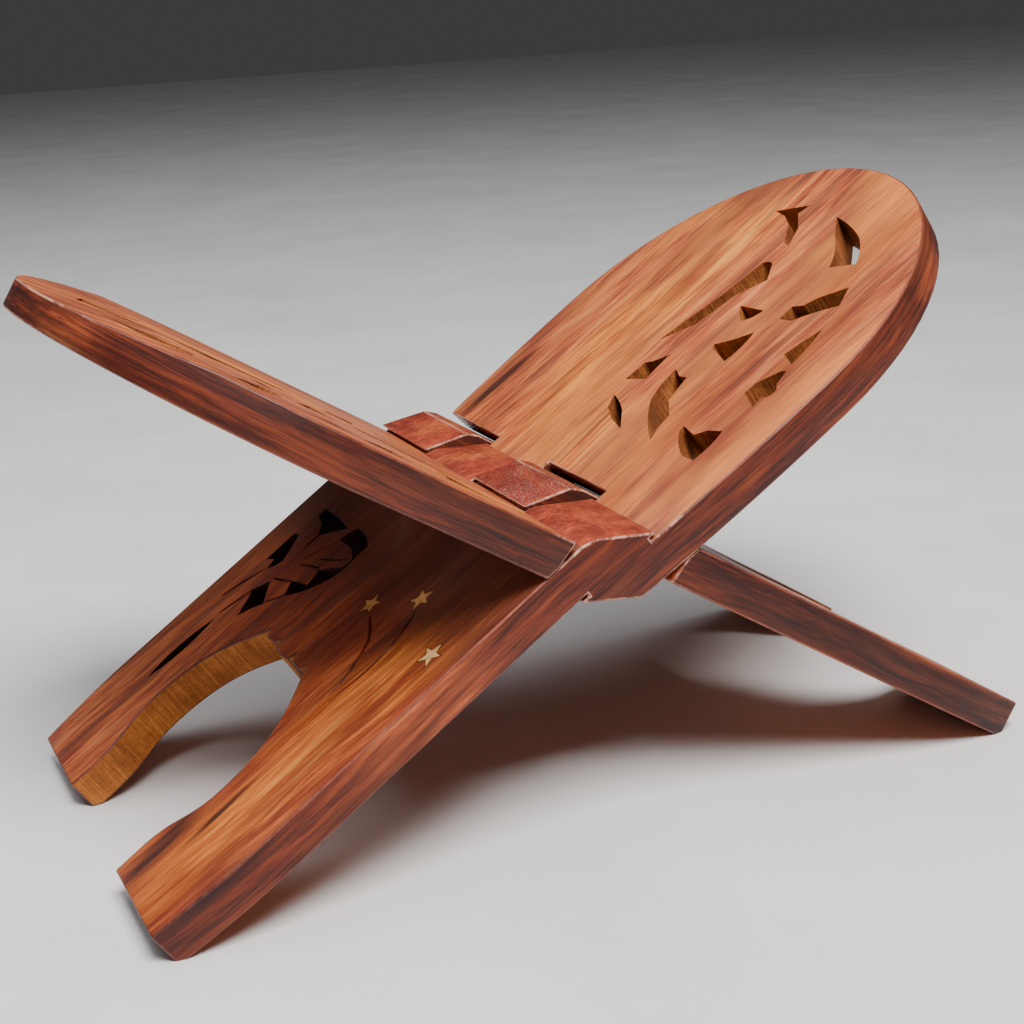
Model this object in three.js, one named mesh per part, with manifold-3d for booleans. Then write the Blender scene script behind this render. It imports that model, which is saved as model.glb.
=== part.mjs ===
// Folding book stand (rehal) carved from one rosewood plank, open on its stop.
// Two leaves cross like an X. Each leaf is a book rest and a leg joined by two
// knuckles, and each knuckle passes through the window in the other leaf, so the
// leaves turn on each other with no pin. Millimetres, +Z up, Y along the hinge.
import * as THREE from 'three';
import { mergeVertices } from 'three/addons/utils/BufferGeometryUtils.js';
import Module from 'manifold-3d';

const wasm = await Module();
wasm.setup();

// Plank and its saw kerf
const THICKNESS = 11.5;        // one leaf, half of the plank
const KERF = 1;                // saw cut between the two leaves
const LEG_LENGTH = 150;        // hinge to foot
const REST_LENGTH = 156;       // hinge to the tip of the right book rest
const LEFT_REST_LENGTH = 152.5;
const LEFT_TIP_WEAR = 3.3;     // how much thinner the left rest is at its tip
const LEFT_TIP_RUN = 36;       // over this length
const HINGE_WIDTH = 142.5;
const REST_WIDTH = 151;
const REST_WIDEST_AT = 75;     // distance from the hinge
const LEG_WIDTH = 140;         // where the foot starts to narrow
const FOOT_WIDTH = 132;
const FOOT_TAPER = 38;         // the legs narrow over this length
const OUTLINE_SKEW = 2.1;      // degrees, hand-cut outline to the square of the hinge
const FOOT_FLAT = 3;           // worn flat that stands on the table

// Hinge
const LEAF_TILT = 32.5;        // degrees, book rest to the table when open
const KNUCKLE_COUNT = 4;       // along the hinge, shared by the two leaves
const SIDE_CLEARANCE = 0.4;    // between neighbouring knuckles
const STOP_CLEARANCE = 0.3;    // between a leaf's square end and the other leaf
const STOP_LAND = 4;           // width of the bevel that meets the other leaf
const END_SLANT = 10;          // degrees, undercut of the ends beside a window
const RIGHT_NOSE = -2.6;       // where each leaf's upper knuckle facet starts
const LEFT_NOSE = 3;
const RIGHT_REACH = 11.8;      // and where it meets the kerf
const LEFT_REACH = 14;
const SHOULDER_RUN = 4;        // small facet at the top of each knuckle
const SHOULDER_DROP = 1.1;
const HEEL_START = -1.2;       // lower knuckle facet, from the back of the rest
const HEEL_REACH = 15.2;       // to where it meets the kerf
const KERF_OVERCUT = 2.6;      // how far the saw kerf runs into a knuckle

// Arch between the feet of a leg
const ARCH_OFFSET = 0.5;       // from the middle of the leg
const ARCH_FOOT_WIDTH = 57;
const ARCH_STRAIGHT = 8;       // length of the straight sides at the foot
const ARCH_WIDTH = 70.4;
const ARCH_WIDEST_AT = 115;    // from the hinge
const ARCH_TOP_AT = 80;
const ARCH_TOP_WIDTH = 36;
const ARCH_SHOULDER = 1.5;     // fullness of the curve where it meets the top
// Carved top edge of the arch, from its corner to its middle: [across, rise]
const ARCH_CROWN = [[16.4, 2.4], [14.4, 0], [8.6, 0.3], [6.4, 2.6], [5, -0.3], [0, -1]];

// Brass stars let into the outer face of each leg
const STAR_RADIUS = 3.9;
const STAR_INNER_RATIO = 0.42;
const STAR_CORNERS = 10;
const STAR_THICKNESS = 1.4;
const STAR_CLEARANCE = 0.25;
const STAR_PLACES = [[-53, -16.6, 20], [-43, -34.1, 55], [-53.2, -60.3, 5]];  // along, across, turn

// Straight runs that each curve is cut into
const PIERCING_STEPS = 6;
const ARCH_STEPS = 10;
const PLANK_STEPS = 20;

const halfKerf = KERF / 2;
const outerFace = halfKerf + THICKNESS;
const tilt = THREE.MathUtils.degToRad(LEAF_TILT);
const flatRise = FOOT_FLAT * Math.sin(tilt);
const flatRun = FOOT_FLAT * Math.cos(tilt);
const pivotHeight = (LEG_LENGTH - flatRun) * Math.sin(tilt) - halfKerf * Math.cos(tilt);
const knucklePitch = HINGE_WIDTH / KNUCKLE_COUNT;
const skew = Math.tan(THREE.MathUtils.degToRad(OUTLINE_SKEW));
const OVERRUN = 8;             // how far a cutting solid passes what it cuts

// A pierced shape is a ring of corners [along, across]. A third number bows the
// side to the next corner by that many millimetres to its left.
const REST_PIERCINGS = [
  [[131.5, 25.5], [136.5, 12.5], [132, 13.5], [126, 6], [118, 1.5], [119, 5], [126.5, 12], [130, 18.5]],
  [[133.5, -5.5, 0.6], [127.5, -23.5, 1], [116.5, -35], [113, -26, -1], [125, -14.5]],
  [[70, 12], [93, 6.5], [109, 4.5, 1], [109.5, -0.5], [103, -6], [94, 0.5], [86, 2], [79.5, 3.5]],
  [[91, -7], [91.5, -19], [88, -17.5], [85.5, -14.5], [88, -10]],
  [
    [95.5, -28.5], [97, -32.5], [101.5, -35.5], [107.5, -42.5], [100, -46.5, -0.5],
    [90.5, -34.5], [90, -29],
  ],
  [[74.5, -14], [78.5, -20], [83, -25, 0.8], [70, -26], [73, -15.5]],
  [[90.5, -50, 0.5], [76, -52.8], [78.5, -46], [84, -47.5]],
  [
    [73.5, -53.5], [68, -55.5], [66.5, -57.5, 0.5], [63, -57], [62.5, -55], [58.5, -56],
    [62, -47], [66.5, -47.5], [72.5, -51.5],
  ],
  [
    [62, -9.5], [60, -14.5], [60.5, -18], [51, -21], [46.5, -28], [41, -29], [36.5, -31.5, 1],
    [49, -13.5, 0.6],
  ],
  [[46, 4.5, 0.4], [42, -6.5], [36, -14.5], [38, -6], [41, 1]],
  [[66.5, 0], [55, -1.5], [52.5, 7.2], [60.5, 6.8, -0.8]],
  [[45, -38], [43.5, -45.5], [46.5, -49], [48, -54.5, 0.8], [36, -55.5], [36, -50, 0.8], [43, -38.5]],
];
const LEG_PIERCINGS = [
  [
    [-39, 53], [-38.7, 41], [-39.8, 31], [-42.7, 35.3], [-45.8, 39.8], [-47.5, 41.4],
    [-43.5, 46.3], [-42.3, 52.5],
  ],
  [
    [-41.2, 28.3], [-37.8, 26.5, 1], [-40.5, 12.4], [-51.5, 11.6, 1], [-63.8, 19.4],
    [-67.9, 24.6], [-63.2, 29.4], [-61.6, 24.5], [-60.9, 19.8], [-55.3, 22.4], [-52.5, 18.3],
    [-50.3, 13.1], [-46.4, 12.9, -0.6], [-43.9, 21.3], [-44.1, 28.9],
  ],
  [[-67.4, 39.6], [-73.3, 43.4], [-75.6, 40.9], [-82.1, 36, 0.6], [-74.1, 30.5]],
  [
    [-50.6, 51.8], [-51.4, 54.5], [-63.4, 53.7], [-61.6, 49.8], [-65.5, 48.4], [-63, 45.7],
    [-60.2, 44.7], [-54.3, 48.7],
  ],
  [[-87.5, 45.6, -2.4], [-114.6, 45.4, -2.2]],
];

// ---- outlines, all in the leaf's own plane: x along the leaf, y across it ----

function bowedRing(corners) {
  const path = new THREE.Path();
  path.moveTo(corners[0][0], corners[0][1]);
  corners.forEach(([x, y, bow = 0], index) => {
    const [nextX, nextY] = corners[(index + 1) % corners.length];
    const length = Math.hypot(nextX - x, nextY - y);
    const controlX = (x + nextX) / 2 - 2 * bow * (nextY - y) / length;
    const controlY = (y + nextY) / 2 + 2 * bow * (nextX - x) / length;
    path.quadraticCurveTo(controlX, controlY, nextX, nextY);
  });
  return path.getPoints(PIERCING_STEPS);
}

// Sets the hand-cut outline at its slight angle to the hinge.
function skewed(points) {
  return points.map((point) => new THREE.Vector2(point.x, point.y + skew * point.x));
}

// Half of the arch, from the foot to the middle of its top edge.
function archHalf(side) {
  const foot = side * ARCH_FOOT_WIDTH / 2;
  const wide = side * ARCH_WIDTH / 2;
  const top = side * ARCH_TOP_WIDTH / 2;
  const straightEnd = -LEG_LENGTH + ARCH_STRAIGHT;
  const swell = (-ARCH_WIDEST_AT - straightEnd) / 2;
  const closing = (ARCH_WIDEST_AT - ARCH_TOP_AT) / 2;
  const path = new THREE.Path();
  path.moveTo(-LEG_LENGTH - OVERRUN, foot);
  path.lineTo(straightEnd, foot);
  path.bezierCurveTo(straightEnd + swell, foot, -ARCH_WIDEST_AT - swell, wide, -ARCH_WIDEST_AT, wide);
  path.bezierCurveTo(
    -ARCH_WIDEST_AT + closing,
    wide,
    -ARCH_TOP_AT - closing / 2,
    top * ARCH_SHOULDER,
    -ARCH_TOP_AT,
    top,
  );
  ARCH_CROWN.forEach(([across, rise]) => path.lineTo(-ARCH_TOP_AT + rise, side * across));
  return path.getPoints(ARCH_STEPS);
}

function archRing() {
  const ring = [...archHalf(1), ...archHalf(-1).reverse().slice(1)];
  return skewed(ring.map((point) => new THREE.Vector2(point.x, point.y + ARCH_OFFSET)));
}

// One edge of the plank from the foot to the book rest's widest point.
function plankEdge(side) {
  const taperEnd = -LEG_LENGTH + FOOT_TAPER;
  const leg = side * LEG_WIDTH / 2;
  const hinge = side * HINGE_WIDTH / 2;
  const rest = side * REST_WIDTH / 2;
  const path = new THREE.Path();
  path.moveTo(-LEG_LENGTH, side * FOOT_WIDTH / 2);
  path.quadraticCurveTo(-LEG_LENGTH + FOOT_TAPER / 2, leg, taperEnd, leg);
  path.lineTo(0, hinge);
  path.quadraticCurveTo(REST_WIDEST_AT / 2, rest, REST_WIDEST_AT, rest);
  return path.getPoints(PLANK_STEPS);
}

// Plan of a whole leaf: leg at -x, book rest at +x with an elliptical tip.
function plankRing(restLength) {
  const tipLength = restLength - REST_WIDEST_AT;
  const tip = new THREE.EllipseCurve(
    REST_WIDEST_AT,
    0,
    tipLength,
    REST_WIDTH / 2,
    Math.PI / 2,
    -Math.PI / 2,
    true,
  );
  const tipPoints = tip.getPoints(2 * PLANK_STEPS).slice(1, -1);
  return skewed([...plankEdge(1), ...tipPoints, ...plankEdge(-1).reverse()]);
}

function starRing(radius, turn) {
  const points = [];
  for (let index = 0; index < STAR_CORNERS; index += 1) {
    const reach = index % 2 === 0 ? radius : radius * STAR_INNER_RATIO;
    const angle = turn + index * 2 * Math.PI / STAR_CORNERS;
    points.push(new THREE.Vector2(reach * Math.cos(angle), reach * Math.sin(angle)));
  }
  return points;
}

// ---- solids ----

function toSolid(geometry) {
  geometry.deleteAttribute('normal');
  geometry.deleteAttribute('uv');
  const merged = mergeVertices(geometry, 1e-5);
  const vertProperties = new Float32Array(merged.attributes.position.array);
  const triVerts = new Uint32Array(merged.index.array);
  return new wasm.Manifold(new wasm.Mesh({ numProp: 3, vertProperties, triVerts }));
}

function toGeometry(solid) {
  const mesh = solid.getMesh();
  const geometry = new THREE.BufferGeometry();
  geometry.setAttribute('position', new THREE.BufferAttribute(mesh.vertProperties, 3));
  geometry.setIndex(new THREE.BufferAttribute(mesh.triVerts, 1));
  geometry.computeVertexNormals();
  return geometry;
}

// Extrudes a ring in the plane of the leaf between two depths. Hand mirrors the
// ring across the leaf, so that both leaves match when they are folded together.
function planSolid(ring, hand, low, high) {
  const points = ring.map((point) => new THREE.Vector2(point.x, point.y * hand));
  const shape = new THREE.Shape(points);
  const geometry = new THREE.ExtrudeGeometry(shape, { depth: high - low, bevelEnabled: false });
  geometry.translate(0, 0, low);
  return toSolid(geometry);
}

// Extrudes an end-on section (along the leaf, through its thickness) across it.
function sectionSolid(corners, low, high) {
  const shape = new THREE.Shape(corners.map(([x, z]) => new THREE.Vector2(x, z)));
  const geometry = new THREE.ExtrudeGeometry(shape, { depth: high - low, bevelEnabled: false });
  geometry.rotateX(Math.PI / 2);
  geometry.translate(0, high, 0);
  return toSolid(geometry);
}

// The end of a plate beside a window: a land that meets the other leaf's outer
// face, then a slightly undercut end up to the kerf face. Section corners.
function plateEnd() {
  const stop = outerFace + STOP_CLEARANCE;
  const backX = (stop + outerFace * Math.cos(2 * tilt)) / Math.sin(2 * tilt);
  const landX = backX - STOP_LAND * Math.cos(2 * tilt);
  const landZ = -outerFace + STOP_LAND * Math.sin(2 * tilt);
  const faceX = landX - (-halfKerf - landZ) * Math.tan(THREE.MathUtils.degToRad(END_SLANT));
  return [[backX, -outerFace], [landX, landZ], [faceX, -halfKerf]];
}

// Section of a book rest. Wear is how much thinner it is at its tip.
function restSection(restLength, wear) {
  const far = restLength + OVERRUN;
  const wearStart = restLength - LEFT_TIP_RUN;
  const wearAtFar = wear * (far - wearStart) / LEFT_TIP_RUN;
  return [...plateEnd(), [wearStart, -halfKerf], [far, -halfKerf - wearAtFar], [far, -outerFace]];
}

function legSection() {
  const footFlat = [[-LEG_LENGTH + flatRun, halfKerf], [-LEG_LENGTH, halfKerf + flatRise]];
  const end = plateEnd().map(([x, z]) => [-x, -z]);
  return [...end, ...footFlat, [-LEG_LENGTH, outerFace]];
}

// Section of a knuckle: over the upper facet to the book face, then back under
// the lower facet to the leg. The saw kerf runs a little way into each facet.
function knuckleSection(nose, reach) {
  const plate = plateEnd()[0][0] + OVERRUN;
  const upperCut = reach - KERF_OVERCUT;
  const lowerCut = -HEEL_REACH + KERF_OVERCUT;
  return [
    [-plate, outerFace],
    [nose - SHOULDER_RUN, outerFace],
    [nose, outerFace - SHOULDER_DROP],
    [reach, halfKerf],
    [upperCut, halfKerf],
    [upperCut, -halfKerf],
    [plate, -halfKerf],
    [plate, -outerFace],
    [HEEL_START, -outerFace],
    [-HEEL_REACH, -halfKerf],
    [lowerCut, -halfKerf],
    [lowerCut, halfKerf],
    [-plate, halfKerf],
  ];
}

// Knuckles of one leaf fill every second place along the hinge. The outer ends
// run past the plank and are trimmed by its outline.
function knuckles(section, hand, firstPlace) {
  const solids = [];
  for (let place = firstPlace; place < KNUCKLE_COUNT; place += 2) {
    const low = -HINGE_WIDTH / 2 + place * knucklePitch;
    const high = low + knucklePitch;
    const start = place === 0 ? low - OVERRUN : low + SIDE_CLEARANCE / 2;
    const end = place === KNUCKLE_COUNT - 1 ? high + OVERRUN : high - SIDE_CLEARANCE / 2;
    const [from, to] = hand > 0 ? [start, end] : [-end, -start];
    solids.push(sectionSolid(section, from, to));
  }
  return solids;
}

// Pocket for a brass star, wider and deeper than the star by its glue line.
function starPocket([x, y, turn], hand, through) {
  const pocketFloor = outerFace - STAR_THICKNESS - STAR_CLEARANCE;
  const radius = STAR_RADIUS + STAR_CLEARANCE / STAR_INNER_RATIO;
  const ring = starRing(radius, THREE.MathUtils.degToRad(turn));
  const placed = ring.map((point) => new THREE.Vector2(point.x + x, point.y + y));
  return planSolid(placed, hand, pocketFloor, through);
}

function leafSolid(shape) {
  const { hand, restLength } = shape;
  const reach = REST_WIDTH / 2 + OVERRUN;
  const through = outerFace + OVERRUN;
  let profile = sectionSolid(restSection(restLength, shape.tipWear), -reach, reach);
  profile = profile.add(sectionSolid(legSection(), -reach, reach));
  const section = knuckleSection(shape.nose, shape.reach);
  knuckles(section, hand, shape.firstPlace).forEach((knuckle) => {
    profile = profile.add(knuckle);
  });
  let leaf = planSolid(plankRing(restLength), hand, -through, through).intersect(profile);
  leaf = leaf.subtract(planSolid(archRing(), hand, 0, through));
  REST_PIERCINGS.forEach((corners) => {
    leaf = leaf.subtract(planSolid(bowedRing(corners), hand, -through, 0));
  });
  LEG_PIERCINGS.forEach((corners) => {
    leaf = leaf.subtract(planSolid(bowedRing(corners), hand, 0, through));
  });
  STAR_PLACES.forEach((place) => {
    leaf = leaf.subtract(starPocket(place, hand, through));
  });
  return leaf;
}

// ---- assembly ----

// What differs between the two leaves.
const RIGHT_LEAF = {
  name: 'right_leaf',
  hand: 1,
  firstPlace: 0,
  restLength: REST_LENGTH,
  tipWear: 0,
  nose: RIGHT_NOSE,
  reach: RIGHT_REACH,
  color: 0x9a4f2c,
};
const LEFT_LEAF = {
  name: 'left_leaf',
  hand: -1,
  firstPlace: 1,
  restLength: LEFT_REST_LENGTH,
  tipWear: LEFT_TIP_WEAR,
  nose: LEFT_NOSE,
  reach: LEFT_REACH,
  color: 0x87422a,
};

function leafMesh(shape) {
  const { name, color } = shape;
  const material = new THREE.MeshStandardMaterial({ color, roughness: 0.42, metalness: 0 });
  const mesh = new THREE.Mesh(toGeometry(leafSolid(shape)), material);
  mesh.name = name;
  return mesh;
}

function starMesh(name, place, hand) {
  const [x, y, turn] = place;
  const ring = starRing(STAR_RADIUS, THREE.MathUtils.degToRad(turn));
  const material = new THREE.MeshStandardMaterial({ color: 0xc9a55c, roughness: 0.35, metalness: 1 });
  const solid = planSolid(ring, hand, outerFace - STAR_THICKNESS, outerFace);
  const mesh = new THREE.Mesh(toGeometry(solid), material);
  mesh.name = name;
  mesh.position.set(x, y * hand, 0);
  return mesh;
}

function leafGroup(shape) {
  const leaf = new THREE.Group();
  leaf.rotation.y = -tilt;
  leaf.add(leafMesh(shape));
  STAR_PLACES.forEach((place, index) => {
    leaf.add(starMesh(`${shape.name}_star_${index + 1}`, place, shape.hand));
  });
  const turned = new THREE.Group();
  turned.rotation.z = shape.hand > 0 ? 0 : Math.PI;
  turned.add(leaf);
  return turned;
}

const leaves = [leafGroup(RIGHT_LEAF), leafGroup(LEFT_LEAF)];
const stand = new THREE.Group();
stand.add(...leaves);

// The origin is on the table, under the middle of the open stand.
const middle = new THREE.Box3().setFromObject(stand, true).getCenter(new THREE.Vector3());
leaves.forEach((leaf) => leaf.position.set(-middle.x, -middle.y, pivotHeight));

export default stand;
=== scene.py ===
"""Looks for the folding book stand: two interlocked rosewood leaves with brass stars."""
import math

import bmesh
import bpy
from mathutils import Matrix, Vector


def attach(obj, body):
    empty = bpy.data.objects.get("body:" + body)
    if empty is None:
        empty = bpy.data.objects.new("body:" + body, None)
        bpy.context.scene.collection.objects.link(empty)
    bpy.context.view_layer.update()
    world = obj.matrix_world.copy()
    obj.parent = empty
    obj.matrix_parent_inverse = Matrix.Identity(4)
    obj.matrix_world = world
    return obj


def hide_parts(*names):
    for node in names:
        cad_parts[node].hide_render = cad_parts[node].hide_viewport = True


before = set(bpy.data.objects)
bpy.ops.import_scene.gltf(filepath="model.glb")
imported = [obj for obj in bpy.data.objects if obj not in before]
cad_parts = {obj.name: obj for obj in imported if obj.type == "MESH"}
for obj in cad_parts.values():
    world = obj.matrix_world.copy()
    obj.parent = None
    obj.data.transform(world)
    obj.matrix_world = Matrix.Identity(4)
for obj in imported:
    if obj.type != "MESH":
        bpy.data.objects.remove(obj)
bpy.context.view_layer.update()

MM = 0.001
TILT = math.radians(32.5)
HINGE = Vector((-1.476, -2.012, 78.814)) * MM
OUTER = 12.0                 # mm, outer face of a leaf from the middle of the saw kerf
SKEW = math.tan(math.radians(2.1))
PLACE = "leaf_place"         # mesh attribute: each vertex in its leaf's own frame

CAMERA_PLACE = Vector((-0.20144, -0.44717, 0.22686))
CAMERA_RIGHT = Vector((0.9038, -0.4251, -0.04928))
CAMERA_FORWARD = Vector((0.39271, 0.86962, -0.29923))
CAMERA_LENS = 60.56          # mm, on a sensor 36 mm wide
SENSOR_WIDTH = 36.0
CLIP_START = 0.02
FLOOR_SIZE = 8.0
WORLD_GREY = (0.72, 0.73, 0.75, 1.0)
WORLD_STRENGTH = 0.07
LIGHT_TARGET = (0, 0, 0.08)
LIGHTS = [                   # name, place, side of the square, watts, tint
    ("key", (-0.04, -0.72, 1.34), 0.65, 42.0, (1.0, 0.98, 0.95)),
    ("top", (-0.45, 0.35, 1.5), 1.1, 11.0, (0.97, 0.98, 1.0)),
]

LEAF_FRAME = {
    "right_leaf": Matrix.Translation(HINGE) @ Matrix.Rotation(-TILT, 4, "Y"),
    "left_leaf": Matrix.Translation(HINGE)
    @ Matrix.Rotation(math.pi, 4, "Z")
    @ Matrix.Rotation(-TILT, 4, "Y"),
}


# ---------------------------------------------------------------- camera

def add_camera():
    """Camera at the photograph's angle."""
    right = CAMERA_RIGHT.normalized()
    forward = CAMERA_FORWARD.normalized()
    up = right.cross(forward).normalized()
    right = forward.cross(up).normalized()
    matrix = Matrix((right, up, -forward)).transposed().to_4x4()
    matrix.translation = CAMERA_PLACE
    data = bpy.data.cameras.new("camera")
    data.lens = CAMERA_LENS
    data.sensor_width = SENSOR_WIDTH
    data.clip_start = CLIP_START
    camera = bpy.data.objects.new("camera", data)
    bpy.context.scene.collection.objects.link(camera)
    camera.matrix_world = matrix
    bpy.context.scene.camera = camera


# ---------------------------------------------------------------- node helpers

class Graph:
    """Short calls for building a material's nodes."""

    def __init__(self, name):
        self.material = bpy.data.materials.new(name)
        self.material.use_nodes = True
        self.tree = self.material.node_tree
        self.tree.nodes.clear()
        self.shader = self.node("ShaderNodeBsdfPrincipled")
        output = self.node("ShaderNodeOutputMaterial")
        self.link(self.shader.outputs[0], output.inputs[0])

    def node(self, kind, **settings):
        made = self.tree.nodes.new(kind)
        for key, value in settings.items():
            setattr(made, key, value)
        return made

    def link(self, source, socket):
        self.tree.links.new(source, socket)

    def put(self, socket, value):
        if hasattr(value, "is_output"):
            self.link(value, socket)
        else:
            socket.default_value = value

    def math(self, operation, a, b=0.0):
        made = self.node("ShaderNodeMath", operation=operation)
        self.put(made.inputs[0], a)
        self.put(made.inputs[1], b)
        return made.outputs[0]

    def add(self, a, b):
        return self.math("ADD", a, b)

    def times(self, a, b):
        return self.math("MULTIPLY", a, b)

    def place(self, offset=(0, 0, 0)):
        """Leaf coordinates in metres: along the leaf, across it and through it."""
        coords = self.node("ShaderNodeAttribute", attribute_name=PLACE).outputs["Vector"]
        made = self.node("ShaderNodeMapping")
        self.put(made.inputs["Vector"], coords)
        made.inputs["Location"].default_value = offset
        return made.outputs[0]

    def stretched(self, vector, scale):
        made = self.node("ShaderNodeVectorMath", operation="MULTIPLY")
        self.put(made.inputs[0], vector)
        made.inputs[1].default_value = scale
        return made.outputs[0]

    def axis(self, vector, index):
        made = self.node("ShaderNodeSeparateXYZ")
        self.put(made.inputs[0], vector)
        return made.outputs[index]

    def noise(self, vector, scale, detail=2.0, rough=0.5):
        """Noise node, changing at a rate of its own along, across and through a leaf."""
        made = self.node("ShaderNodeTexNoise", noise_dimensions="3D")
        self.put(made.inputs["Vector"], self.stretched(vector, scale))
        made.inputs["Scale"].default_value = 1.0
        made.inputs["Detail"].default_value = detail
        made.inputs["Roughness"].default_value = rough
        return made

    def cloud(self, vector, scale, detail=2.0, rough=0.5):
        """The grey value of that noise."""
        return self.noise(vector, scale, detail, rough).outputs["Fac"]

    def remap(self, value, low, high, to_low=0.0, to_high=1.0):
        made = self.node("ShaderNodeMapRange", interpolation_type="SMOOTHSTEP")
        self.put(made.inputs["Value"], value)
        made.inputs["From Min"].default_value = low
        made.inputs["From Max"].default_value = high
        made.inputs["To Min"].default_value = to_low
        made.inputs["To Max"].default_value = to_high
        return made.outputs["Result"]

    def ramp(self, value, stops):
        made = self.node("ShaderNodeValToRGB")
        elements = made.color_ramp.elements
        while len(elements) < len(stops):
            elements.new(0.5)
        for element, (position, color) in zip(elements, stops):
            element.position = position
            element.color = (*color, 1.0)
        self.put(made.inputs[0], value)
        return made.outputs[0]

    def mix(self, factor, a, b, blend="MIX"):
        made = self.node("ShaderNodeMix", data_type="RGBA", blend_type=blend)
        self.put(made.inputs[0], factor)
        self.put(made.inputs[6], (*a, 1.0) if isinstance(a, tuple) else a)
        self.put(made.inputs[7], (*b, 1.0) if isinstance(b, tuple) else b)
        return made.outputs[2]

    def bump(self, height, strength, distance, under=None):
        made = self.node("ShaderNodeBump")
        made.inputs["Strength"].default_value = strength
        made.inputs["Distance"].default_value = distance
        self.put(made.inputs["Height"], height)
        if under is not None:
            self.link(under, made.inputs["Normal"])
        return made.outputs[0]


def color(red, green, blue):
    """8-bit display colour to linear."""
    return tuple(
        (c / 255 / 12.92) if c / 255 <= 0.04045 else ((c / 255 + 0.055) / 1.055) ** 2.4
        for c in (red, green, blue)
    )


# ---------------------------------------------------------------- wood

RED = dict(
    pale=color(200, 112, 66), light=color(172, 84, 46), mid=color(142, 62, 36),
    deep=color(106, 42, 27), dark=color(58, 31, 25),
)
GOLD = dict(
    pale=color(220, 138, 64), light=color(194, 106, 44), mid=color(162, 78, 31),
    deep=color(118, 50, 24), dark=color(66, 36, 26),
)
# Tones for the rest: lighter wood, with a painted sheen of the satin varnish mixed into them.
SHEENED_BOOK_RED = dict(
    pale=color(220, 136, 82), light=color(196, 105, 59), mid=color(168, 82, 49),
    deep=color(118, 58, 44), dark=color(78, 50, 44),
)
SHEENED_BOOK_GOLD = dict(
    pale=color(242, 164, 80), light=color(222, 134, 58), mid=color(196, 104, 45),
    deep=color(150, 78, 42), dark=color(84, 52, 40),
)
KNUCKLE = dict(
    pale=color(178, 86, 56), light=color(156, 64, 43), mid=color(130, 50, 36),
    deep=color(94, 36, 29), dark=color(56, 28, 26),
)
SIDE = dict(
    pale=color(148, 66, 34), light=color(118, 48, 27), mid=color(90, 34, 21),
    deep=color(58, 23, 17), dark=color(30, 18, 18),
)
ARCH_TONES = (color(108, 58, 28), color(164, 95, 42), color(208, 136, 66))
PIERCED_TONES = (color(62, 31, 16), color(122, 66, 30), color(174, 103, 50))
# Near black: painted shade inside the leg's narrow fretwork cuts.
FRET_SHADE_TONES = (color(22, 12, 9), color(44, 22, 15), color(70, 36, 22))
BRASS_TONES = (color(214, 168, 104), color(232, 198, 136))
FLOOR_TONES = (color(214, 214, 215), color(230, 230, 230))
DULLED = color(196, 168, 168)
SPECKLE = color(206, 160, 148)
CHIPPED = color(204, 146, 124)
TONE_STOPS = (("deep", 0.12), ("mid", 0.38), ("light", 0.62), ("pale", 0.92))
SAWN_STOPS = (0.42, 0.62, 0.80)

# How fast each pattern changes, per metre along, across and through a leaf.
GRAIN_DRIFT = (11, 20, 20)
BROAD_STREAKS = (19, 150, 230)
FINE_STREAKS = (50, 620, 820)
FIBRES = (90, 1900, 2400)
HEARTWOOD = (11, 210, 300)
SMOKE = (12, 62, 200)
GLOW = (10, 45, 180)
PORES = (110, 2300, 2300)
ZONE_FRAY = (30, 160, 160)
VARNISH_SMEAR = (30, 60, 60)
VARNISH_WAVE = (18, 60, 60)
DARK_STREAKS = (25, 420, 420)
SIDE_DRIFT = (14, 14, 60)
SPECKS = (2600, 2600, 2600)
SPECK_DRIFT = (140, 140, 140)
SAW_MARKS = (1900, 1900, 60)
SAW_CRUMBS = (1400, 1400, 1400)
SAW_BLOTCHES = (70, 70, 90)
CHIPS = (300, 300, 300)
BRASS_SCRATCHES = (500, 2500, 500)
BRASS_STAINS = (700, 700, 700)
FLOOR_MOTTLE = (9, 9, 9)

# Places along a leaf in metres, each as a fade from one distance to another.
DRIFT_REACH = (0, 0.014, 0.006)
REST_FROM = (-0.002, 0.002)
# Painted shade: leg faces darken towards the hinge, where the other leaf's rest hangs over them.
HINGE_SHADE_FROM = (-0.070, -0.040)
HINGE_SHADE_TO = (-0.004, 0.002)
HINGE_WEAR = (0.016, 0.026)
TIP_WEAR = (0.138, 0.150)
ROUGH_FADE = 3               # mm


def zone_mask(graph, zones):
    """1 inside soft ellipses on a leaf, 0 outside: [along, across, reach, reach, turn] in mm."""
    place = graph.place()
    fray = graph.cloud(place, ZONE_FRAY, 3.0)
    mask = 0.0
    for along, across, long_reach, short_reach, turn in zones:
        spot = graph.node("ShaderNodeMapping", vector_type="TEXTURE")
        graph.put(spot.inputs["Vector"], place)
        spot.inputs["Location"].default_value = (along * MM, across * MM, 0)
        spot.inputs["Rotation"].default_value = (0, 0, math.radians(turn))
        spot.inputs["Scale"].default_value = (long_reach * MM, short_reach * MM, 1)
        length = graph.node("ShaderNodeVectorMath", operation="LENGTH")
        graph.put(length.inputs[0], spot.outputs[0])
        edge = graph.add(length.outputs["Value"], graph.times(fray, 0.9))
        mask = graph.math("MAXIMUM", mask, graph.remap(edge, 0.75, 1.6, 1.0, 0.0))
    return mask


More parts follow.
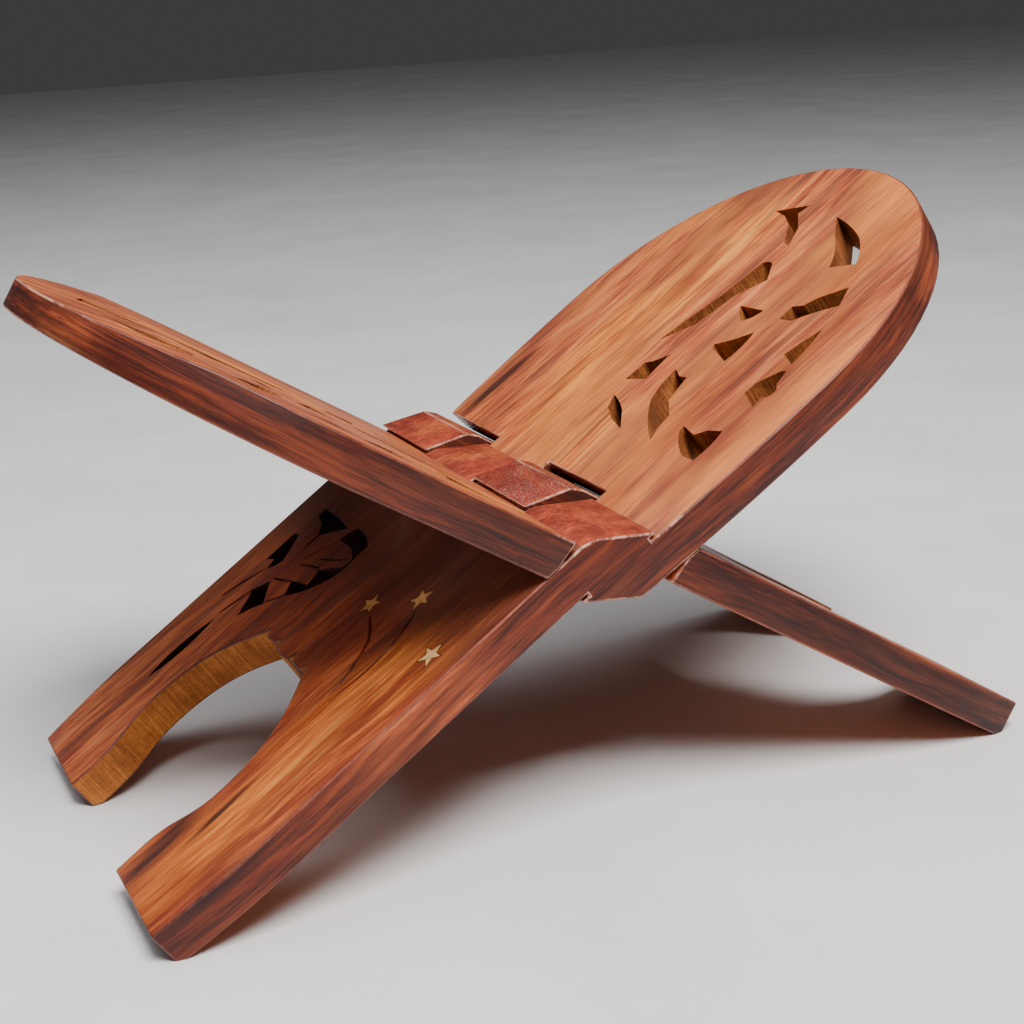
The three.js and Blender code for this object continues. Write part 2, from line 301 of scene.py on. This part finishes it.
def grain(graph, offset, red, gold, zones, contrast=1.0, dark_amount=0.6, across=1.0):
    """Colour, fibre height, pores and place of streaked rosewood.

    Across is how fast it changes over the width.
    """
    place = graph.stretched(graph.place(offset), (1, across, 1))
    drift = graph.noise(place, GRAIN_DRIFT)
    warp = graph.node("ShaderNodeVectorMath", operation="MULTIPLY_ADD")
    graph.put(warp.inputs[0], drift.outputs["Color"])
    warp.inputs[1].default_value = DRIFT_REACH
    graph.put(warp.inputs[2], place)
    along = warp.outputs[0]
    broad = graph.cloud(along, BROAD_STREAKS, 3.0, 0.55)
    fine = graph.cloud(along, FINE_STREAKS, 3.0, 0.6)
    hair = graph.cloud(along, FIBRES, 2.0)
    tone = graph.times(graph.math("SUBTRACT", broad, 0.5), 1.2 * contrast)
    tone = graph.add(tone, graph.times(graph.math("SUBTRACT", fine, 0.5), 1.5 * contrast))
    tone = graph.add(tone, graph.times(graph.math("SUBTRACT", hair, 0.5), 0.9))
    tone = graph.add(tone, 0.5)
    shade = graph.ramp(tone, [(stop, red[name]) for name, stop in TONE_STOPS])
    if zones:
        warm = graph.ramp(tone, [(stop, gold[name]) for name, stop in TONE_STOPS])
        shade = graph.mix(zone_mask(graph, zones), shade, warm)
    heart = graph.cloud(along, HEARTWOOD, 3.0, 0.6)
    heart = graph.add(heart, graph.times(fine, 0.25))
    heart = graph.remap(heart, 0.62, 0.80, 0.0, dark_amount)
    shade = graph.mix(heart, shade, red["dark"])
    smoke = graph.cloud(along, SMOKE, 3.0, 0.6)
    smoke = graph.remap(graph.add(smoke, graph.times(hair, 0.2)), 0.58, 0.80, 0.0, 0.6)
    shade = graph.mix(smoke, shade, red["deep"])
    glow = graph.cloud(along, GLOW, 3.0, 0.6)
    shade = graph.mix(graph.remap(glow, 0.50, 0.72, 0.0, 0.55), shade, gold["light"])
    pores = graph.cloud(place, PORES, 1.0)
    pores = graph.remap(pores, 0.62, 0.72, 0.0, 0.45)
    shade = graph.mix(pores, shade, red["dark"])
    return shade, hair, pores, place


def varnish(graph, shade, height, pores, rough_low, rough_high, place, gloss=0.42):
    """Satin varnish that follows the fibres and is worn unevenly."""
    shader = graph.shader
    graph.link(shade, shader.inputs["Base Color"])
    smear = graph.cloud(place, VARNISH_SMEAR, 3.0)
    graph.link(graph.remap(smear, 0.3, 0.7, rough_low, rough_high), shader.inputs["Roughness"])
    shader.inputs["Specular IOR Level"].default_value = gloss
    shader.inputs["Coat Weight"].default_value = gloss / 4
    shader.inputs["Coat Roughness"].default_value = 0.3
    wave = graph.cloud(place, VARNISH_WAVE, 2.0)
    soft = graph.bump(wave, 0.3, 0.0016)
    fine = graph.bump(height, 0.3, 0.0003, soft)
    pitted = graph.bump(graph.math("SUBTRACT", 1.0, pores), 0.25, 0.0002, fine)
    graph.link(pitted, shader.inputs["Normal"])


def face_wood(name, offset, gold_zones, dark_zones, dull_zones, lit_patch_zones):
    """Broad face of a leaf, with its places. The rest's lighter tones are partly lighter wood,
    partly painted sheen; painted light lifts patches of the leg and painted shade darkens it
    towards the hinge.
    """
    graph = Graph(name)
    shade, hair, pores, place = grain(graph, offset, RED, GOLD, gold_zones, 1.0, 0.5)
    book = grain(graph, offset, SHEENED_BOOK_RED, SHEENED_BOOK_GOLD, gold_zones, 1.1, 0.6)[0]
    along = graph.axis(graph.place(), 0)
    # The rest takes the lighter tones (lighter wood plus painted sheen); the leg's listed patches
    # take them as painted light.
    on_rest = graph.remap(along, *REST_FROM)
    rest_sheen_and_lit_mask = graph.math("MAXIMUM", on_rest, zone_mask(graph, lit_patch_zones))
    shade = graph.mix(rest_sheen_and_lit_mask, shade, book)
    # Painted shade: the leg faces go darker towards the hinge, under the other leaf's rest.
    hinge_shade = graph.times(graph.remap(along, *HINGE_SHADE_FROM), graph.remap(along, *HINGE_SHADE_TO, 0.7, 0.0))
    shade = graph.mix(hinge_shade, shade, RED["dark"])
    dull = graph.times(zone_mask(graph, dull_zones), 0.5)
    shade = graph.mix(dull, shade, graph.mix(1.0, shade, DULLED, "MULTIPLY"))
    streaks = graph.cloud(place, DARK_STREAKS, 3.0, 0.6)
    streaks = graph.remap(streaks, 0.3, 0.5, 0.5, 0.95)
    shade = graph.mix(graph.times(zone_mask(graph, dark_zones), streaks), shade, RED["dark"])
    varnish(graph, shade, hair, pores, 0.34, 0.5, place)
    return graph.material


def side_wood(name, offset, bright_zones, darker):
    """Narrow side of a leaf: straight dark streaks that follow the outline."""
    graph = Graph(name)
    shade, hair, pores, place = grain(graph, offset, SIDE, RED, bright_zones, 1.1, 0.6, 0.1)
    drift = graph.cloud(place, SIDE_DRIFT, 2.0)
    drift = graph.remap(drift, 0.35, 0.65, darker, darker + 0.35)
    shade = graph.mix(drift, shade, SIDE["dark"])
    varnish(graph, shade, hair, pores, 0.4, 0.58, place, 0.25)
    return graph.material


def left_grainy(graph, shade, start, end):
    """The shade, pale specked and a little darker between two distances across a leaf, in mm."""
    place = graph.place()
    across = graph.axis(place, 1)
    inside = graph.times(
        graph.remap(across, start * MM, (start + ROUGH_FADE) * MM),
        graph.remap(across, (end - ROUGH_FADE) * MM, end * MM, 1.0, 0.0),
    )
    specks = graph.cloud(place, SPECKS, 1.0)
    specks = graph.times(graph.remap(specks, 0.60, 0.68), inside)
    drift = graph.cloud(place, SPECK_DRIFT, 2.0)
    specks = graph.times(specks, graph.remap(drift, 0.4, 0.6, 0.1, 0.7))
    shade = graph.mix(graph.times(inside, 0.45), shade, KNUCKLE["deep"])
    return graph.mix(specks, shade, SPECKLE)


def knuckle_wood(name, offset, rough_span, pale_spot):
    """Hand-carved knuckle facets: brick red, with a lighter patch, and some left grainy."""
    graph = Graph(name)
    shade, hair, pores, place = grain(graph, offset, KNUCKLE, RED, [pale_spot], 0.7, 0.25)
    if rough_span:
        shade = left_grainy(graph, shade, *rough_span)
    varnish(graph, shade, hair, pores, 0.34, 0.5, place, 0.3)
    return graph.material


def sawn(name, offset, tones):
    """Unvarnished fretsaw wall, with fine marks straight through the leaf."""
    graph = Graph(name)
    place = graph.place(offset)
    marks = graph.cloud(place, SAW_MARKS, 2.0, 0.6)
    crumbs = graph.cloud(place, SAW_CRUMBS, 2.0)
    blotch = graph.cloud(place, SAW_BLOTCHES, 3.0)
    tone = graph.add(graph.times(marks, 0.45), graph.times(blotch, 0.55))
    tone = graph.add(tone, graph.times(crumbs, 0.25))
    shade = graph.ramp(tone, list(zip(SAWN_STOPS, tones)))
    graph.link(shade, graph.shader.inputs["Base Color"])
    graph.shader.inputs["Roughness"].default_value = 0.75
    graph.shader.inputs["Specular IOR Level"].default_value = 0.2
    graph.link(graph.bump(marks, 0.6, 0.0005), graph.shader.inputs["Normal"])
    return graph.material


def worn(name, offset, tip):
    """Rounded edge where handling has thinned the varnish, most of all at the hinge."""
    graph = Graph(name)
    shade, hair, pores, place = grain(graph, offset, SIDE, RED, [], 0.9, 0.4, 0.1)
    along = graph.axis(graph.place(), 0)
    chips = graph.cloud(place, CHIPS, 4.0, 0.75)
    near_hinge = graph.remap(graph.math("ABSOLUTE", along), *HINGE_WEAR, 1.0, 0.0)
    at_tip = graph.times(graph.remap(along, *TIP_WEAR), tip)
    wear = graph.math("MAXIMUM", graph.math("MAXIMUM", near_hinge, at_tip), 0.10)
    chips = graph.times(graph.remap(chips, 0.42, 0.60, 0.1, 0.8), wear)
    shade = graph.mix(chips, shade, CHIPPED)
    varnish(graph, shade, hair, pores, 0.4, 0.6, place)
    return graph.material


def groove_wood(name, offset):
    """Carved lines, dark with old varnish."""
    graph = Graph(name)
    shade, hair, pores, place = grain(graph, offset, SIDE, SIDE, [], 1.0, 0.8)
    varnish(graph, shade, hair, pores, 0.5, 0.7, place, 0.1)
    return graph.material


def brass():
    """Soft brass, scratched by filing and a little stained."""
    graph = Graph("brass")
    place = graph.node("ShaderNodeTexCoord").outputs["Object"]
    scratch = graph.cloud(place, BRASS_SCRATCHES, 3.0)
    stain = graph.cloud(place, BRASS_STAINS, 3.0)
    shade = graph.ramp(stain, list(zip((0.35, 0.6), BRASS_TONES)))
    graph.link(shade, graph.shader.inputs["Base Color"])
    graph.shader.inputs["Metallic"].default_value = 0.45
    graph.link(graph.remap(scratch, 0.3, 0.7, 0.35, 0.6), graph.shader.inputs["Roughness"])
    graph.link(graph.bump(scratch, 0.2, 0.0001), graph.shader.inputs["Normal"])
    return graph.material


# ---------------------------------------------------------------- leaves

(FACE_SLOT, SIDE_SLOT, ARCH_SLOT, FRET_SLOT, PIERCED_SLOT, KNUCKLE_SLOT, WORN_SLOT,
 GROOVE_SLOT) = range(8)

# Lines gouged into the outer face of a leg, in mm along and across the leaf.
GOUGED_LINES = [
    [(-46.5, 41.3), (-50, 41.4), (-53.3, 41.0)],
    [(-44.0, 28.2), (-50.1, 32.1), (-55.5, 35.3)],
    [(-52.5, 27.6), (-49.9, 21.2), (-47.2, 14.9)],
    [(-58.0, 34.3), (-55.7, 28.9), (-54.7, 22.7)],
    [(-66.1, 39.2), (-64.4, 33.3), (-63.0, 29.0)],
    [(-65.0, 48.4), (-72.4, 51.8), (-78.1, 53.9), (-81.5, 54.9)],
    [(-73.0, 43.4), (-78.8, 44.6), (-85.5, 46.6)],
    [(-67.5, 24.4), (-70.5, 27.8), (-73.8, 31.2)],
    [(-55.6, -21.5), (-61.0, -31.8), (-71.0, -38.0), (-79.0, -40.4)],
    [(-46.0, -37.0), (-54.0, -41.3), (-65.6, -43.8), (-80.3, -42.8)],
]
GOUGE_WIDTH = 1.3
GOUGE_DEPTH = 0.9
GOUGE_FLARE = 1.5            # how much wider the cutter is above the face
END_STEP = 0.4               # how blunt a line's ends are, in steps along it
SWELL_POWER = 0.6            # how fast a line widens from its ends

# A leaf's outline, in mm along it from the hinge and half way across it.
FOOT_TAPER_START = -112
FOOT_TAPER_RUN = 38
FOOT_TAPER_IN = 4
LEG_HALF = 70
HINGE_HALF = 71.25
REST_HALF = 75.5
TIP_START = 75
TIP_RUN = {1: 81, -1: 77.5}
OUTLINE_BAND = 2.5

# Where each finish lies, in mm, and how far its faces lean from the leaf's plane.
FLAT = 0.99
UPRIGHT = 0.03
HINGE_WALL = 0.05
WORN_TIP_FROM = 100
WORN_TIP_LEAN = 0.8
GOUGED_LEAN = (0.2, 0.97)
GOUGED_SPAN = (-90, -38)
GOUGED_ABOVE = 10.6
KNUCKLE_REACH = 24
HINGE_REACH = 20
PLANK_SPAN = (-147, 148)
ARCH_TOP = -76
ARCH_HALF = 38
FRET_BESIDE_ARCH = (-86, 27)

WELD = 1e-6                  # m
FLAT_ANGLE = math.radians(0.6)
ROUNDED_ANGLE = math.radians(28)
SHARP_ANGLE = math.radians(32)
SHORTEST_ROUNDED = 0.4       # mm
EDGE_RADIUS = 0.55           # mm
EDGE_SEGMENTS = 3


def smooth_line(points, steps=6):
    """Catmull-Rom points through a line's own points."""
    ends = [points[0], *points, points[-1]]
    out = []
    for before, start, end, after in zip(ends, ends[1:], ends[2:], ends[3:]):
        before, start, end, after = (Vector(p) for p in (before, start, end, after))
        for step in range(steps):
            t = step / steps
            out.append(0.5 * (
                2 * start + (end - before) * t
                + (2 * before - 5 * start + 4 * end - after) * t * t
                + (3 * start - before - 3 * end + after) * t ** 3
            ))
    out.append(Vector(points[-1]))
    return out


def gouge_mesh(hand):
    """V-shaped cutters with pointed ends, one for each gouged line."""
    bm = bmesh.new()
    for line in GOUGED_LINES:
        points = smooth_line(line)
        last = len(points) - 1
        rings = []
        for index, point in enumerate(points):
            ahead = points[min(index + 1, last)] - points[max(index - 1, 0)]
            side = Vector((-ahead.y, ahead.x)).normalized()
            turn = math.pi * (index + END_STEP) / (last + 2 * END_STEP)
            swell = math.sin(turn) ** SWELL_POWER
            half = GOUGE_WIDTH / 2 * swell
            corners = (
                (point + side * half * GOUGE_FLARE, OUTER + GOUGE_DEPTH * swell / 2),
                (point, OUTER - GOUGE_DEPTH * swell),
                (point - side * half * GOUGE_FLARE, OUTER + GOUGE_DEPTH * swell / 2),
            )
            rings.append([
                bm.verts.new((p.x * MM, p.y * hand * MM, height * MM)) for p, height in corners
            ])
        for first, second in zip(rings, rings[1:]):
            for k in range(3):
                bm.faces.new((first[k], first[(k + 1) % 3], second[(k + 1) % 3], second[k]))
        bm.faces.new(rings[0])
        bm.faces.new(rings[-1])
    bmesh.ops.recalc_face_normals(bm, faces=bm.faces)
    data = bpy.data.meshes.new("gouge")
    bm.to_mesh(data)
    bm.free()
    return data


def gouged(data, hand):
    """The leaf's mesh with the carved lines cut into it."""
    blank = bpy.data.objects.new("blank", data)
    gouge = bpy.data.objects.new("gouge", gouge_mesh(hand))
    for piece in (blank, gouge):
        bpy.context.scene.collection.objects.link(piece)
    cut = blank.modifiers.new("carve", "BOOLEAN")
    cut.operation = "DIFFERENCE"
    cut.solver = "EXACT"
    cut.object = gouge
    depsgraph = bpy.context.evaluated_depsgraph_get()
    carved = bpy.data.meshes.new_from_object(blank.evaluated_get(depsgraph))
    for piece in (blank, gouge):
        bpy.data.objects.remove(piece)
    return carved


def outline_half(along, hand):
    """Half width of a leaf at a distance from the hinge, in mm."""
    if along <= FOOT_TAPER_START:
        return LEG_HALF - FOOT_TAPER_IN * ((FOOT_TAPER_START - along) / FOOT_TAPER_RUN) ** 2
    if along <= 0:
        return HINGE_HALF - (HINGE_HALF - LEG_HALF) * along / FOOT_TAPER_START
    if along <= TIP_START:
        t = along / TIP_START
        return (1 - t) ** 2 * HINGE_HALF + (2 * t * (1 - t) + t * t) * REST_HALF
    return REST_HALF * math.sqrt(max(0.0, 1 - ((along - TIP_START) / TIP_RUN[hand]) ** 2))


def surface_kind(face, hand):
    """Which finish a face of a leaf takes."""
    normal, centre = face.normal, face.calc_center_median() / MM
    along = centre.x
    across = centre.y * hand - SKEW * along
    if abs(normal.z) > FLAT or (along > WORN_TIP_FROM and normal.z > WORN_TIP_LEAN):
        return FACE_SLOT
    leans = GOUGED_LEAN[0] < normal.z < GOUGED_LEAN[1]
    if leans and centre.z > GOUGED_ABOVE and GOUGED_SPAN[0] < along < GOUGED_SPAN[1]:
        return GROOVE_SLOT
    if abs(normal.y) < HINGE_WALL and abs(along) < KNUCKLE_REACH:
        return KNUCKLE_SLOT
    if abs(normal.z) > UPRIGHT or abs(along) < HINGE_REACH:
        return SIDE_SLOT
    if not PLANK_SPAN[0] <= along <= PLANK_SPAN[1]:
        return SIDE_SLOT
    if abs(across) > outline_half(along, hand) - OUTLINE_BAND:
        return SIDE_SLOT
    if along > 0:
        return PIERCED_SLOT
    beside = along > FRET_BESIDE_ARCH[0] and across > FRET_BESIDE_ARCH[1]
    if along < ARCH_TOP and abs(across) < ARCH_HALF and not beside:
        return ARCH_SLOT
    return FRET_SLOT


def leaf_mesh(name, hand):
    """The CAD leaf, carved, with rounded outer edges and a finish for each surface."""
    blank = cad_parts[name].data.copy()
    blank.transform(LEAF_FRAME[name].inverted())
    blank.materials.clear()
    data = gouged(blank, hand)
    bm = bmesh.new()
    bm.from_mesh(data)
    bmesh.ops.remove_doubles(bm, verts=bm.verts, dist=WELD)
    bmesh.ops.dissolve_limit(bm, angle_limit=FLAT_ANGLE, verts=bm.verts, edges=bm.edges)
    for face in bm.faces:
        face.smooth = True
        face.material_index = surface_kind(face, hand)
    kept_sharp = {FRET_SLOT, PIERCED_SLOT, GROOVE_SLOT}
    rounded = []
    for edge in bm.edges:
        if len(edge.link_faces) != 2 or edge.calc_face_angle() < ROUNDED_ANGLE:
            continue
        if kept_sharp & {face.material_index for face in edge.link_faces}:
            continue
        if edge.calc_length() > SHORTEST_ROUNDED * MM:
            rounded.append(edge)
    bmesh.ops.bevel(
        bm, geom=rounded, offset=EDGE_RADIUS * MM, offset_type="OFFSET", segments=EDGE_SEGMENTS,
        profile=0.5, affect="EDGES", clamp_overlap=False, material=WORN_SLOT, loop_slide=True,
    )
    for edge in bm.edges:
        if len(edge.link_faces) == 2 and edge.calc_face_angle() > SHARP_ANGLE:
            edge.smooth = False
    bm.to_mesh(data)
    bm.free()
    keep_place(data, LEAF_FRAME[name])
    return data


def keep_place(data, leaf_frame):
    """Stores the leaf coordinates that carry the grain, then puts the mesh in the row frame."""
    attribute = data.attributes.new(PLACE, "FLOAT_VECTOR", "POINT")
    for index, vertex in enumerate(data.vertices):
        attribute.data[index].vector = vertex.co
    data.transform(leaf_frame)


# Each leaf's own places, in mm: [along, across, long reach, short reach, turn].
RIGHT_LOOK = dict(
    offset=(0, 0, 0),
    gold=[
        (70, 32, 60, 20, 2), (112, 26, 36, 12, 3), (28, 0, 26, 20, 0),
        (-108, -58, 62, 15, 3), (-70, -48, 40, 12, -6), (-60, -60, 30, 12, 0),
    ],
    dark=[(-137, -41, 20, 5.5, 6), (34, 66, 22, 3.5, 2), (-118, -48, 16, 1.6, 4)],
    dull=[(88, -52, 62, 14, 2), (120, -40, 26, 14, 20), (60, -38, 40, 14, 0)],
    # pale: painted light, lifting leg patches that the other leaf's rest shades.
    pale=[(-122, 54, 60, 34, 0), (-84, 52, 50, 20, 0), (-66, 6, 26, 26, 0)],
    bright=[(124, -50, 14, 16, 0), (-64, -70, 24, 14, 0)],
    darker=0.05,
    rough=None,
    spot=(0, 24, 14, 8, 0),
    tip=0.0,
)
LEFT_LOOK = dict(
    offset=(0.41, 0.13, 0.02),
    gold=[(84, -12, 60, 18, -3), (40, 44, 40, 12, 4), (-96, 52, 56, 15, 0), (-70, -30, 34, 12, 8)],
    dark=[(60, -60, 34, 3.5, 3), (-128, -44, 22, 5, -5)],
    dull=[(90, 48, 60, 14, -4), (-90, -52, 50, 12, 3)],
    # pale: painted light, lifting a leg patch that the other leaf's rest shades.
    pale=[(-122, -52, 60, 34, 0)],
    bright=[(146, 30, 9, 22, 0)],
    darker=0.38,
    rough=(0.5, 35.5),
    spot=(2, -53, 13, 9, 0),
    tip=0.9,
)


def add_leaf(name, hand, look):
    """A leaf in place of its CAD node, with all its finishes."""
    data = leaf_mesh(name, hand)
    offset = look["offset"]
    # The pale places are painted light on the leg.
    zones = [look[key] for key in ("gold", "dark", "dull", "pale")]
    by_slot = {
        FACE_SLOT: face_wood(f"{name}_face", offset, *zones),
        SIDE_SLOT: side_wood(f"{name}_side", offset, look["bright"], look["darker"]),
        ARCH_SLOT: sawn(f"{name}_arch", offset, ARCH_TONES),
        # Fretwork walls: near-black tones as painted shade.
        FRET_SLOT: sawn(f"{name}_fret", offset, FRET_SHADE_TONES),
        PIERCED_SLOT: sawn(f"{name}_pierced", offset, PIERCED_TONES),
        KNUCKLE_SLOT: knuckle_wood(f"{name}_knuckle", offset, look["rough"], look["spot"]),
        WORN_SLOT: worn(f"{name}_worn", offset, look["tip"]),
        GROOVE_SLOT: groove_wood(f"{name}_gouged", offset),
    }
    for slot in sorted(by_slot):
        data.materials.append(by_slot[slot])
    leaf = bpy.data.objects.new(f"{name}_carved", data)
    bpy.context.scene.collection.objects.link(leaf)
    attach(leaf, name)
    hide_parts(name)


# ---------------------------------------------------------------- stage

def add_stage():
    """Pale floor and a dim grey surround."""
    graph = Graph("pale_floor")
    coords = graph.node("ShaderNodeTexCoord").outputs["Object"]
    mottle = graph.cloud(coords, FLOOR_MOTTLE, 6.0, 0.6)
    shade = graph.ramp(mottle, list(zip((0.3, 0.7), FLOOR_TONES)))
    graph.link(shade, graph.shader.inputs["Base Color"])
    graph.shader.inputs["Roughness"].default_value = 0.8
    bpy.ops.mesh.primitive_plane_add(size=FLOOR_SIZE)
    floor = bpy.context.object
    floor.name = "floor"
    floor.data.materials.append(graph.material)
    world = bpy.data.worlds.new("studio")
    world.use_nodes = True
    background = world.node_tree.nodes["Background"]
    background.inputs[0].default_value = WORLD_GREY
    background.inputs[1].default_value = WORLD_STRENGTH
    bpy.context.scene.world = world


def add_light(name, place, size, power, tint):
    """Square soft box, aimed at the stand."""
    data = bpy.data.lights.new(name, "AREA")
    data.shape = "RECTANGLE"
    data.size = data.size_y = size
    data.energy = power
    data.color = tint
    light = bpy.data.objects.new(name, data)
    bpy.context.scene.collection.objects.link(light)
    light.location = place
    direction = Vector(LIGHT_TARGET) - Vector(place)
    light.rotation_euler = direction.to_track_quat("-Z", "Y").to_euler()


add_camera()
add_stage()
for light_values in LIGHTS:
    add_light(*light_values)

add_leaf("right_leaf", 1, RIGHT_LOOK)
add_leaf("left_leaf", -1, LEFT_LOOK)
brass_material = brass()
for node_name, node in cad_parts.items():
    if "star" in node_name:
        node.data.materials.clear()
        node.data.materials.append(brass_material)
